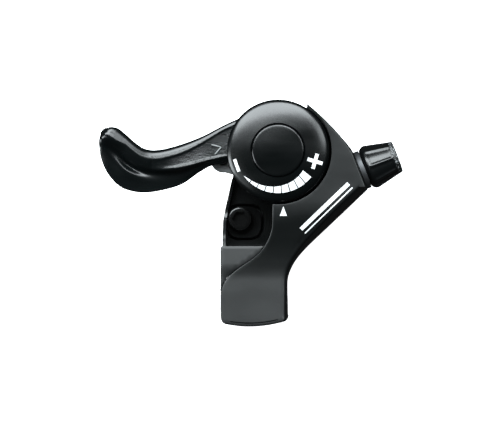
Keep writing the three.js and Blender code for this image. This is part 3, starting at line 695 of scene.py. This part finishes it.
def bracket_base():
    outline = base_outline()
    base = plate("base_shell", outline, FLOOR_BOTTOM, FLOOR_TOP, 0.5)
    disc = [(0, FLOOR_BOTTOM), (16.4, FLOOR_BOTTOM), (16.4, FLOOR_TOP), (0, FLOOR_TOP)]
    add(base, lathe("disc", disc, x=DIAL_X, y=DIAL_Y, edges=[0, 0.5, 0.3, 0]))
    outer = [p[:2] for p in cover_outline()]
    room = [p[:2] for p in cover_outline(WALL)]
    walls = plate("walls", outer, FLOOR_BOTTOM + 0.02, WALL_TOP, 0.5, 0.1)
    cut(walls, plate("room", room, FLOOR_TOP, PARTING + 1), cable_gap())
    add(base, walls)

    near_bar = clipped(outline, lambda x, y: SADDLE_EDGE - y)
    add(base, plate("block", near_bar, 0, WALL_TOP, 0.4, 0.1))
    inner = clipped([p[:2] for p in cover_outline(WALL + 0.3)], lambda x, y: SADDLE_EDGE - y)
    add(base, plate("upper_block", inner, PARTING - 1, 13.2))

    split = [p for p in split_edge(-0.13) if p[1] < SADDLE_EDGE and p[0] > LEFT_FACE + 0.03]
    corners = [(split[0][0] + 0.6, SADDLE_EDGE), (LEFT_FACE, SADDLE_EDGE),
               (LEFT_FACE, split[-1][1] - 0.2)]
    saddle = rounded(corners, [0, 0.8, 0]) + split[::-1][1:]

    def level(_, y):
        """The saddle's top follows the neck and falls away slightly beyond it."""
        return neck_height(min(y, 6)) - 0.3 - 0.1 * max(0, y - 6)

    edge = resampled(saddle, 0.8)
    rings = [[(x, y, 8) for x, y in edge], [(x, y, level(x, y) - 0.2) for x, y in edge],
             [(x, y, level(x, y) - 0.06) for x, y in inset(edge, 0.06)],
             [(x, y, level(x, y)) for x, y in inset(edge, 0.2)]]
    add(base, mesh_object("saddle", *capped(rings, level, 1.5)))

    strip = [(POCKET_SIDE[0][0], 13), *POCKET_SIDE, (-7.5, 35.2),
             (-6.7, 34.9), (-7.85, 29.1), (-8.75, 25.2), (-9.35, 21.3), (-9.35, 13)]
    wall = plate("side_wall", strip, FLOOR_BOTTOM + 0.3, SADDLE_TOP, 0, 0.3)
    high = SADDLE_TOP - 0.4
    slope = rounded([(12.5, 0), (38, 0), (38, 8.2), (22.5, 8.2), (16.5, high), (12.5, high)],
                    [0, 0, 0, 6, 3, 0], 6)
    add(base, combine(wall, plate("slope", slope, -12, 8, matrix=ALONG_BAR), "INTERSECT"))

    def around_bolt(margin):
        low_x, high_x = -9.1 - margin, 2.0 + margin
        low_y, high_y = 15.9 - margin, 26.2 + margin
        box = [(low_x, low_y), (high_x, low_y), (high_x, high_y), (low_x, high_y)]
        return rounded(box, 4.3 + margin, 12)

    rim = plate("rim", around_bolt(0.9), FLOOR_TOP - 1, 8, 0, 0.4)
    lip = [(0.6 - 0.6 * math.cos(a), 7.42 + 0.6 * math.sin(a)) for a in quarter(5)]
    recess = [[(x, y, z) for x, y in inset(around_bolt(0), -d)]
              for d, z in ((0, FLOOR_TOP), *lip, (0.7, 8.1))]
    cut(rim, mesh_object("recess", *stack_rings(recess)))
    corner = plate("corner", [(-9.3, 14), (5, 14), (5, 28), (-9.3, 28)], 0, 12)
    add(base, combine(rim, corner, "INTERSECT"))

    jaw_section = arc(0, 0, CLAMP_RADIUS, 176, 208, 16) + arc(0, 0, BAR_RADIUS - 1, 208, 176, 16)
    jaw = plate("jaw", jaw_section, LEFT_FACE, RIGHT_FACE, 0, 0, ALONG_BAR)
    add(base, combine(jaw, plate("jaw_ends", outline, -14, 2), "INTERSECT"))
    boss = [(0, -1), (9, -1), (9, 2), (0, 2)]
    add(base, lathe("back_boss", boss, x=DIAL_X, y=DIAL_Y, edges=[0, 0.6, 0, 0]))
    stop_end = [beside_stop(w, v) for w, v in (
        (-11.5, -STOP_HALF + 0.2), (STOP_FACE - 0.05, -STOP_HALF + 0.2),
        (STOP_FACE - 0.05, STOP_HALF - 0.2), (-6, STOP_HALF - 0.2), (-9.5, 2.5))]
    add(base, plate("stop_end", rounded(stop_end, [0, 0.5, 0.5, 0, 0]), FLOOR_BOTTOM + 0.04,
                    WALL_TOP, 0.4, 0.1))
    cut(base, bar_bore(), stop_bore())

    for start, end in ((-9.4, -4.4), (4.4, 9.4)):
        profile = [(0, start), (1.5, start), (1.5, end), (0, end)]
        knuckle = lathe("knuckle", profile, ON_HINGE, 48, edges=[0, 0.25, 0.25, 0])
        add(base, combine(knuckle, plate("knuckle_ends", outline, -14, 2), "INTERSECT"))
    cut(base, cylinder(1.8, -4.2, 4.2, matrix=ON_HINGE), cylinder(0.95, -12, 12, matrix=ON_HINGE))
    cut(base, cylinder(4.1, -3, 8, DIAL_X, DIAL_Y), cylinder(6.7, -3, 0.9, DIAL_X, DIAL_Y))
    cut(base, cylinder(2.9, -3, 8, BOLT_X, BOLT_Y))
    for x, y in ((23, 27), (11.5, 18.5)):
        cut(base, cylinder(1.6, -1, 12, x, y), cylinder(2.9, -1, FLOOR_BOTTOM + 1.4, x, y))
    # The floor inside, which shows in the bolt's pocket, gets a glossier, weaker-reflecting material
    # that darkens it: painted shade.
    for polygon in base.data.polygons:
        _, y, z = polygon.center / MM
        if polygon.normal.z > 0.5 and 3 < z < 9 and y > 5:
            polygon.material_index = 1
    return base


def clamp_band():
    """The lower half of the clamp, drawn in Y and Z, with its bolt ear and hinge knuckle."""
    shell = arc(0, 0, CLAMP_RADIUS, 211, 323, 60) + arc(0, 0, BAR_RADIUS, 323, 211, 60)
    band = plate("band_shell", shell, -9.2, 9.2, 0.45, 0.45, ALONG_BAR)
    combine(band, plate("band_ends", base_outline(), -14, 2), "INTERSECT")
    ear = [(11.3, -1.5), (27.6, -1.5), (27.6, -5.8), (25.2, -8.4), (17, -8.4), (11.2, -9.0), (10, -7.5)]
    ear = rounded(ear, [0, 0.8, 1.6, 1.6, 2.5, 0, 0], 5)
    add(band, plate("ear", ear, -9.6, 0.2, 0.5, 0.5, ALONG_BAR))
    cut(band, cylinder(1.75, -12, -4.1, matrix=ON_HINGE), cylinder(1.75, 4.1, 12, matrix=ON_HINGE))
    profile = [(0, -4.1), (1.5, -4.1), (1.5, 4.1), (0, 4.1)]
    knuckle = lathe("knuckle", profile, ON_HINGE, 48, edges=[0, 0.25, 0.25, 0])
    web = [(-12.9, -7.6), (-11.2, -6.4), (-9.2, -6.3), (-10.2, -8.6)]
    add(band, knuckle, plate("web", web, -4.05, 4.05, 0, 0, ALONG_BAR))
    cut(band, bar_bore(), cylinder(1.0, -12, 12, matrix=ON_HINGE))
    slot = arc(BOLT_X, BOLT_Y + 0.5, 2.9, 0, 180, 20) + arc(BOLT_X, BOLT_Y - 0.5, 2.9, 180, 360, 20)
    cut(band, plate("slot", slot, -12, 0))
    return cut(band, plate("pocket", arc(BOLT_X, BOLT_Y, 4.85, 30, 330, 5), -12, -4.6))


def clamp_bolt():
    profile = [(0, -10), (1.9, -10), (2.4, -9.4), (2.4, 5.65), (3.95, 5.65), (3.95, 8.3), (0, 8.3)]
    bolt = lathe("bolt", profile, None, 64, BOLT_X, BOLT_Y, [0, 0, 0, 0.1, 0.15, 0.7, 0])
    return cut(bolt, plate("socket", arc(BOLT_X, BOLT_Y, 2.6, 0, 300, 5), 6.4, 9))


# ------------------------------------------------------------------ the lever and what turns with it
STATIONS = [
    # inner x and y, outer x and y, crest, underside, then share across and height for the rim, the
    # valley and the ridge, and the height of the outer edge
    (-1.5, 56.0, -4.5, 41.0, 19.3, 15.2, 0.86, 19.4, 0.92, 18.8, 0.96, 18.4, 17.9),
    (-9.5, 52.5, -13.0, 39.7, 19.4, 15.3, 0.85, 19.7, 0.92, 18.6, 0.96, 18.2, 17.6),
    (-17.3, 48.5, -17.8, 37.3, 19.8, 15.8, 0.73, 20.3, 0.85, 18.4, 0.93, 18.1, 17.4),
    (-25.1, 45.6, -23.4, 33.5, 20.7, 16.2, 0.57, 20.9, 0.73, 18.4, 0.84, 18.1, 17.6),
    (-31.2, 44.2, -29.8, 31.5, 21.9, 16.4, 0.48, 21.1, 0.62, 18.4, 0.74, 18.3, 17.9),
    (-35.4, 44.5, -36.6, 30.7, 23.0, 16.6, 0.39, 21.4, 0.54, 18.7, 0.65, 19.1, 18.4),
    (-38.8, 46.6, -43.0, 32.3, 24.1, 16.9, 0.34, 22.4, 0.50, 19.3, 0.62, 20.5, 19.2),
    (-41.7, 49.2, -47.2, 36.4, 25.0, 17.4, 0.35, 23.6, 0.50, 21.3, 0.62, 21.6, 20.2),
    (-44.2, 51.2, -49.5, 41.4, 25.8, 18.2, 0.46, 24.8, 0.60, 23.0, 0.71, 22.9, 21.3),
    (-46.2, 51.7, -50.2, 46.6, 25.8, 19.6, 0.68, 25.3, 0.78, 24.4, 0.88, 23.8, 22.5),
    (-47.9, 51.4, -49.7, 49.4, 24.0, 21.2, 0.72, 23.8, 0.82, 23.5, 0.90, 23.2, 22.6),
]
SPANS = 9
TOP_STEPS = 56


def catmull(a, b, c, d, t):
    """A smooth curve from b at t = 0 to c at t = 1."""
    square = 2 * a - 5 * b + 4 * c - d
    cube = 3 * b - a - 3 * c + d
    return 0.5 * (2 * b + (c - a) * t + square * t * t + cube * t ** 3)


def smooth_stations():
    """The stations with SPANS rows to each, listed with their place along the lever."""
    last = len(STATIONS) - 1
    result = []
    for i in range(last * SPANS + 1):
        span = min(i // SPANS, last - 1)
        rows = [STATIONS[max(0, min(last, span + k))] for k in (-1, 0, 1, 2)]
        result.append((i / SPANS, [catmull(*values, i / SPANS - span) for values in zip(*rows)]))
    return result


def monotone(knots, s):
    """A smooth curve through (place, height) knots that never overshoots between them."""
    steps = [(z1 - z0) / (s1 - s0) for (s0, z0), (s1, z1) in zip(knots, knots[1:])]
    slopes = [steps[0]]
    slopes += [2 * a * b / (a + b) if a * b > 0 else 0.0 for a, b in zip(steps, steps[1:])]
    slopes.append(steps[-1])
    for k, ((s0, z0), (s1, z1)) in enumerate(zip(knots, knots[1:])):
        if s <= s1 or k == len(steps) - 1:
            width = s1 - s0
            t = (s - s0) / width
            low = z0 * (2 * t ** 3 - 3 * t * t + 1) + slopes[k] * width * (t ** 3 - 2 * t * t + t)
            return low + z1 * (3 * t * t - 2 * t ** 3) + slopes[k + 1] * width * (t ** 3 - t * t)


def lever_section(along, values):
    """One closed section: the top from the inner to the outer edge, then the underside back."""
    ix, iy, ox, oy, crest, under, rim_s, rim, valley_s, valley, ridge_s, ridge, edge = values
    web = ramp(along, 0.3, 1.1) * ramp(along, 4.6, 3.2)
    roll = ramp(along, 1, 4.5)
    tip = ramp(along, 6.5, 9.5)
    broad = ramp(along, 0.8, 2.5) * (1 - 0.55 * ramp(along, 4, 6))
    crest_s = 0.11 + 0.10 * broad + 0.33 * tip
    shoulder = 0.8 + 0.4 * roll
    dip = 0.35 * web
    first = crest_s + 0.07
    last = rim_s - 0.07
    facet = 0.198 * crest_s * math.hypot(ix - ox, iy - oy)
    brow = crest - facet - shoulder
    knots = [(0.0, brow), (0.15 * crest_s, brow + 0.7 * shoulder),
             (0.32 * crest_s, crest - 1.05 * facet), (0.62 * crest_s, crest - 0.55 * facet),
             (crest_s, crest)]
    if web > 0.05:
        slope = (rim - crest) / (rim_s - crest_s)
        knots += [(s, crest + slope * (s - crest_s) - dip) for s in (first, last)]
    knots += [(rim_s, rim), (valley_s, valley), (ridge_s, ridge),
              (0.5 * (1 + ridge_s), 0.45 * ridge + 0.55 * edge), (1.0, edge)]
    top = []
    for k in range(TOP_STEPS + 1):
        s = 0.5 - 0.5 * math.cos(math.pi * k / TOP_STEPS)
        top.append((s, monotone(knots, s)))
    side = 0.45 * (brow - under)
    lower = [(-0.012, brow - 0.6), (-0.02, under + side), (0.0, under + 0.5), (0.05, under + 0.1),
             (0.2, under), (0.5, under), (0.8, under), (0.95, under + 0.1), (1.0, under + 0.45),
             (1.012, under + 0.5 * (edge - under)), (1.01, edge - 0.35)]
    points = top + lower[::-1]
    return [(ix + (ox - ix) * s, iy + (oy - iy) * s, z) for s, z in points]


def thumb_lever():
    rows = smooth_stations()
    rings = [lever_section(a, values) for a, values in rows]
    end = rings[-1]
    middle = sum((Vector(p) for p in end), Vector()) / len(end)
    ahead = Vector((-0.3, 0.32, -0.2))
    for angle in quarter(10)[1:-1]:
        push = ahead * math.sin(angle)
        rings.append([tuple(middle + (Vector(p) - middle) * math.cos(angle) + push) for p in end])
    lever = mesh_object("lever_paddle", *stack_rings(rings), merge=0)
    count = len(rings[0])
    for r, (along, values) in enumerate(rows[:-1]):
        for i in range(TOP_STEPS):
            share = 0.5 - 0.5 * math.cos(math.pi * (i + 0.5) / TOP_STEPS)
            rim_share = values[6]
            if 0.35 < along < 4.4 and 0.12 < share < rim_share + 0.02:
                lever.data.polygons[r * count + i].material_index = 1
    for material in (lever_nylon, web_nylon):
        lever.data.materials.append(material)
    cut(lever, cylinder(12, 14, 21, DIAL_X, DIAL_Y))
    hub = [(5.1, 15), (16.2, 15), (16.2, 19.4), (10, 19.4), (10, 17), (5.1, 17)]
    add(lever, lathe("hub", hub, x=DIAL_X, y=DIAL_Y, edges=[0, 0.3, 0.3, 0, 0, 0]))
    return lever


def lever_arrow():
    """The small raised arrowhead on the lever's root, which points at the dial."""
    tip = Vector((-10.6, 45.3))
    arms = []
    for end in (Vector((-13.7, 46.1)), Vector((-12.6, 43.0))):
        side = (end - tip).normalized()
        side = Vector((-side.y, side.x)) * 0.17
        corners = [tip + side, tip - side, end - side, end + side]
        arms.append(plate("arrow", [tuple(c) for c in corners], 18.6, 19.95, 0, 0.1))
    return arms


def cable_drum():
    profile = [(5.1, 6), (16.2, 6), (16.2, 8.4), (14.4, 9.3),
               (14.4, 10.7), (16.2, 11.6), (16.2, 14.4), (5.1, 14.4)]
    drum = lathe("drum", profile, None, 128, DIAL_X, DIAL_Y, [0, 0.2, 0.1, 0.4, 0.4, 0.1, 0.2, 0])
    tip = polar(18.5, 188.6, DIAL_X, DIAL_Y)
    root = arc(DIAL_X, DIAL_Y, 15, 212.6, 164.6, 12)
    lug = plate("lug", arc(*tip, 4, 98.6, 278.6, 40) + root, 9, 14, 0.5, 0.6)
    add(drum, lug)
    return cut(drum, cylinder(1.9, 10.6, 15, *tip))


# radius and height, from the dial's rim inward
DOME = [(16.6, 22.75), (16.45, 23.3), (16.0, 23.75), (15.2, 24.05),
        (13.5, 24.5), (11.5, 24.9), (9.4, 25.22)]


def dome_height(radius):
    """The height of the dial's dome at that distance from its middle."""
    for (r0, z0), (r1, z1) in zip(DOME, DOME[1:]):
        if radius >= r1:
            return z1 + (z0 - z1) * min(1.0, (radius - r1) / (r0 - r1))
    return DOME[-1][1]


def indicator_dial():
    edge = CAP_RADIUS + 0.25
    profile = [(14.9, 19.6), (16.4, 19.6), (16.6, 19.9), *DOME, (edge + 0.35, 25.28), (edge, 24.95),
               (edge, 23.4), (6.6, 23.4), (6.6, 22.2), (13.6, 22.2), (14.9, 21.6)]
    return lathe("dial", profile, None, 160, DIAL_X, DIAL_Y)


def centre_cap():
    profile = [(0, 24.4), (5.9, 24.4), (5.9, 22.4), (6.4, 22.4), (6.4, 23.5), (CAP_RADIUS, 23.5),
               (CAP_RADIUS, 25.25), (8.3, 25.42), (8.15, 25.52), (7.95, 25.57),
               *((r, 25.95 - r * r / 164) for r in (7.4, 6.5, 5.5, 4.5, 3.5, 2.5, 1.5, 0.7)), (0, 25.95)]
    return lathe("cap", profile, None, 128, DIAL_X, DIAL_Y)


def on_dial(name, outline, grid=0.5):
    """A thin raised mark that follows the dial's dome; its outline is drawn from the dial's centre."""
    points = outline if signed_area(outline) > 0 else list(reversed(outline))

    def height(x, y):
        return dome_height(math.hypot(x, y)) + 0.035

    low = [(x, y, height(x, y) - 0.15) for x, y in points]
    high = [(x, y, height(x, y)) for x, y in points]
    vertices, faces = capped([low, high], height, grid)
    return mesh_object(name, [(x + DIAL_X, y + DIAL_Y, z) for x, y, z in vertices], faces)


def dial_marks():
    """A scale that grows to 3.4 mm wide, with a minus at its thin end and a plus at the other."""
    marks = []
    start, end = 216.8, 321.5
    outer = 13.75
    count = 9
    half_gap = 0.75
    width = (end - start) / count
    for i in range(count):
        a0 = start + width * i + (half_gap if i else 0)
        a1 = start + width * (i + 1) - (half_gap if i < count - 1 else 0)
        angles = [a0 + (a1 - a0) * k / 8 for k in range(9)]
        rim = [polar(outer, a) for a in angles]
        depth = [3.4 * max(0.004, (a - start) / (end - start)) ** 0.68 for a in angles]
        back = [polar(outer - d, a) for a, d in zip(angles, depth)]
        marks.append(on_dial("scale", rim + back[::-1]))

    def bar(angle, radius, tangential, radial):
        centre = Vector(polar(radius, angle))
        out = centre.normalized()
        side = Vector((-out.y, out.x))
        corners = [centre + side * (sx * tangential / 2) + out * (sy * radial / 2)
                   for sx, sy in ((-1, -1), (1, -1), (1, 1), (-1, 1))]
        return resampled([tuple(c) for c in corners], 0.4)

    marks.append(on_dial("minus", bar(199.8, 14.2, 4.2, 1.0)))
    marks.append(on_dial("plus", bar(343.7, 12.5, 5.0, 1.15)))
    marks.append(on_dial("plus_arm", bar(343.7, 12.5, 1.15, 5.0)))
    return marks


def on_cover(name, outline):
    """A thin raised mark that follows the cover's top surface."""
    points = resampled(outline if signed_area(outline) > 0 else list(reversed(outline)), 0.5)

    def height(x, y):
        return cover_height(x, y) + 0.03

    low = [(x, y, cover_height(x, y) - 0.2) for x, y in points]
    high = [(x, y, height(x, y)) for x, y in points]
    return mesh_object(name, *capped([low, high], height, 0.6))


STRIPE_LENGTH = 21.4


def stripe(offset, thickness):
    """A printed bar that runs up the cover's diagonal, offset towards the dial."""
    origin = Vector((15.9, 18.0))
    ahead = Vector((16.4, 15.7)).normalized()
    side = Vector((-ahead.y, ahead.x))
    low, high = offset - thickness / 2, offset + thickness / 2
    corners = [origin + ahead * a + side * b
               for a, b in ((0, low), (STRIPE_LENGTH, low), (STRIPE_LENGTH, high), (0, high))]
    return on_cover("stripe", [tuple(c) for c in corners])


# ------------------------------------------------------------------ the barrel adjuster
KNOB_LENGTH = 11.4
KNOB_NEAR = 7.25
KNOB_FAR = 5.2
KNOB_WIDEST = 2.2
RIBS = 8


def knob_radius(s, angle):
    """The knob's outer radius at distance s from its near end, with thin ribs between flat lands."""
    taper = max(0.0, s - KNOB_WIDEST) / (KNOB_LENGTH - KNOB_WIDEST)
    swell = max(0.0, 1 - s / KNOB_WIDEST)
    body = KNOB_NEAR + (KNOB_FAR - KNOB_NEAR) * taper - 1.1 * swell ** 2.2
    rib = abs(math.cos(RIBS * angle / 2)) ** 14
    depth = 0.42 * eased(ramp(s, 0.9, 2.5)) * eased(ramp(s, KNOB_LENGTH - 1.3, KNOB_LENGTH - 2.4))
    return body - depth * (1 - rib)


def adjuster_knob():
    segments = 192
    angles = [2 * math.pi * i / segments for i in range(segments)]
    near = [(0.5 * (1 - math.sin(a)), 0.55 * (1 - math.cos(a))) for a in quarter(4)]
    far = [(0.45 * (1 - math.cos(a)), KNOB_LENGTH - 0.45 * (1 - math.sin(a))) for a in quarter(4)]
    middle = [(0, 0.6 + (KNOB_LENGTH - 1.1) * i / 40) for i in range(1, 40)]
    bore = [(3.05, KNOB_LENGTH), (2.85, KNOB_LENGTH - 0.06), (2.75, KNOB_LENGTH - 0.25), (2.75, 5.4),
            (2.55, 5.4), (2.55, 4.2), (4.3, 4.2), (4.3, 0.0)]
    outer = [[knob_radius(s, a) - lean for a in angles] for lean, s in near + middle + far]
    radii = outer + [[r] * segments for r, _ in bore]
    places = [s for _, s in near + middle + far + bore]
    rings = [[(r * math.cos(a), r * math.sin(a), s) for r, a in zip(row, angles)]
             for row, s in zip(radii, places)]
    vertices, faces = stack_rings(rings, close_ends=False)
    last = (len(rings) - 1) * segments
    for i in range(segments):
        j = (i + 1) % segments
        faces.append((last + i, last + j, j, i))
    knob = mesh_object("knob", vertices, faces, TO_STOP)
    inverse = TO_STOP.inverted()
    # The roughly cast far rim, whose pale flecks are painted glints.
    for polygon in knob.data.polygons:
        if (inverse @ (polygon.center / MM)).z > KNOB_LENGTH - 1.5:
            polygon.material_index = 1
    return knob


def adjuster_collar():
    seat = STOP_FACE + 0.02
    profile = [(2.6, -9), (3.55, -9), (3.55, seat), (6.4, seat), (6.4, -0.1), (2.6, -0.1)]
    return lathe("collar", profile, TO_STOP, 96, edges=[0, 0.2, 0, 0.05, 0.25, 0])


# ------------------------------------------------------------------ build every piece
fit(bracket_cover(), "bracket", "cover_nylon", cover_nylon, "bracket_cover")
fit(bracket_base(), "bracket", "body_nylon", [body_nylon, pocket_shade_nylon], "bracket_base")
fit(clamp_band(), "clamp_band", "body_nylon", body_nylon, "clamp_band")
fit(clamp_bolt(), "clamp_bolt", "black_steel", black_oxide, "clamp_bolt")
fit(thumb_lever(), "lever", "lever_nylon", [lever_nylon, web_nylon], "thumb_lever", angle=55)
fit(cable_drum(), "lever", "drum_grey", drum_grey, "cable_drum")
fit(indicator_dial(), "lever", "dial_plastic", dial_plastic, "indicator_dial")
fit(centre_cap(), "lever", "dial_plastic", dial_plastic, "centre_cap")
fit(adjuster_knob(), "adjuster", "knob_plastic", [knob_plastic, rough_rim_glints], "adjuster_knob")
fit(adjuster_collar(), "bracket", "plated_steel", plated_steel, "adjuster_collar")
for mark in dial_marks():
    fit(mark, "lever", "white_print", white_print)
# The arrow is black lever plastic; its light grey colour is a painted highlight.
for arm in lever_arrow():
    fit(arm, "lever", "lever_nylon", arrow_highlight_paint)
pointer = [(9.7, 26.0), (8.55, 22.9), (10.85, 22.9)]
fit(on_cover("pointer", pointer), "bracket", "white_print", white_print)
for offset, thickness in ((0.75, 1.3), (-1.05, 0.4)):
    fit(stripe(offset, thickness), "bracket", "white_print", white_print)

for node, material in (
    ("axle_post", plated_steel), ("friction_disc", spring_steel), ("drum_bush", drum_grey),
    ("pressure_washer", plated_steel), ("wave_washer", spring_steel), ("lever_screw", plated_steel),
    ("cover_screw_1", black_oxide), ("cover_screw_2", black_oxide), ("clamp_washer", plated_steel),
    ("hinge_pin", plated_steel), ("housing_seat", plated_steel), ("adjuster_stem", black_oxide),
    ("adjuster_spring", spring_steel), ("clamp_nut", plated_steel),
):
    obj = frame["nodes"][node]
    obj.data.materials.clear()
    obj.data.materials.append(material)

# ------------------------------------------------------------------ floor, light and camera
FLOOR_Z = -13.45
FLOOR_REACH = 4000
corners = [(x * FLOOR_REACH, y * FLOOR_REACH, FLOOR_Z) for x, y in ((-1, -1), (1, -1), (1, 1), (-1, 1))]
floor_mesh = mesh_object("floor", corners, [(0, 1, 2, 3)])
paper = Nodes("paper")
speckle = paper.noise(60, 3.0, 0.5)
paper.link(paper.blend(paper.spread(speckle, 0, 1), (0.90, 0.90, 0.90), (0.92, 0.92, 0.92)),
           paper.shader.inputs["Base Color"])
paper.shader.inputs["Roughness"].default_value = 0.9
paper.shader.inputs["Emission Color"].default_value = (1, 1, 1, 1)
paper.shader.inputs["Emission Strength"].default_value = 1.05
floor_mesh.data.materials.append(paper.material)
floor_mesh.visible_glossy = False
floor_mesh.visible_diffuse = False

world = bpy.data.worlds.new("studio")
world.use_nodes = True
world.node_tree.nodes["Background"].inputs["Color"].default_value = (1, 1, 1, 1)
world.node_tree.nodes["Background"].inputs["Strength"].default_value = 0.03
scene.world = world


LIT_POINT = Vector((0, 25, 10))


def softbox(name, place, size, watts):
    """A rectangular lamp of that size, aimed at the middle of the part."""
    light = bpy.data.lights.new(name, "AREA")
    light.shape = "RECTANGLE"
    light.size = size[0] * MM
    light.size_y = size[1] * MM
    light.energy = watts
    light.color = (0.90, 0.97, 1.0)
    obj = bpy.data.objects.new(name, light)
    scene.collection.objects.link(obj)
    obj.location = Vector(place) * MM
    obj.rotation_euler = (LIT_POINT - Vector(place)).to_track_quat("-Z", "Y").to_euler()


softbox("key", (-100, 540, 680), (1100, 430), 20.5)
softbox("right", (518, 284, 645), (320, 320), 2.1)
softbox("left_strip", (-420, -60, 160), (160, 420), 2.2)
softbox("low_left", (-450, -220, 650), (300, 300), 0.5)

LENS = 200
SENSOR = 36
FIELD_WIDTH = 163.15
target = Vector((-0.86, 23.2, 20)) * MM
towards = Vector((0.03, -0.012, 1)).normalized()
camera = bpy.data.objects.new("camera", bpy.data.cameras.new("camera"))
scene.collection.objects.link(camera)
camera.data.lens = LENS
camera.data.sensor_width = SENSOR
camera.data.clip_end = 50
camera.location = target + towards * (FIELD_WIDTH * LENS / SENSOR) * MM
right = Vector((0, 1, 0)).cross(towards).normalized()
up = towards.cross(right)
camera.rotation_euler = Matrix((right, up, towards)).transposed().to_euler()
scene.camera = camera
scene.view_settings.view_transform = "Standard"
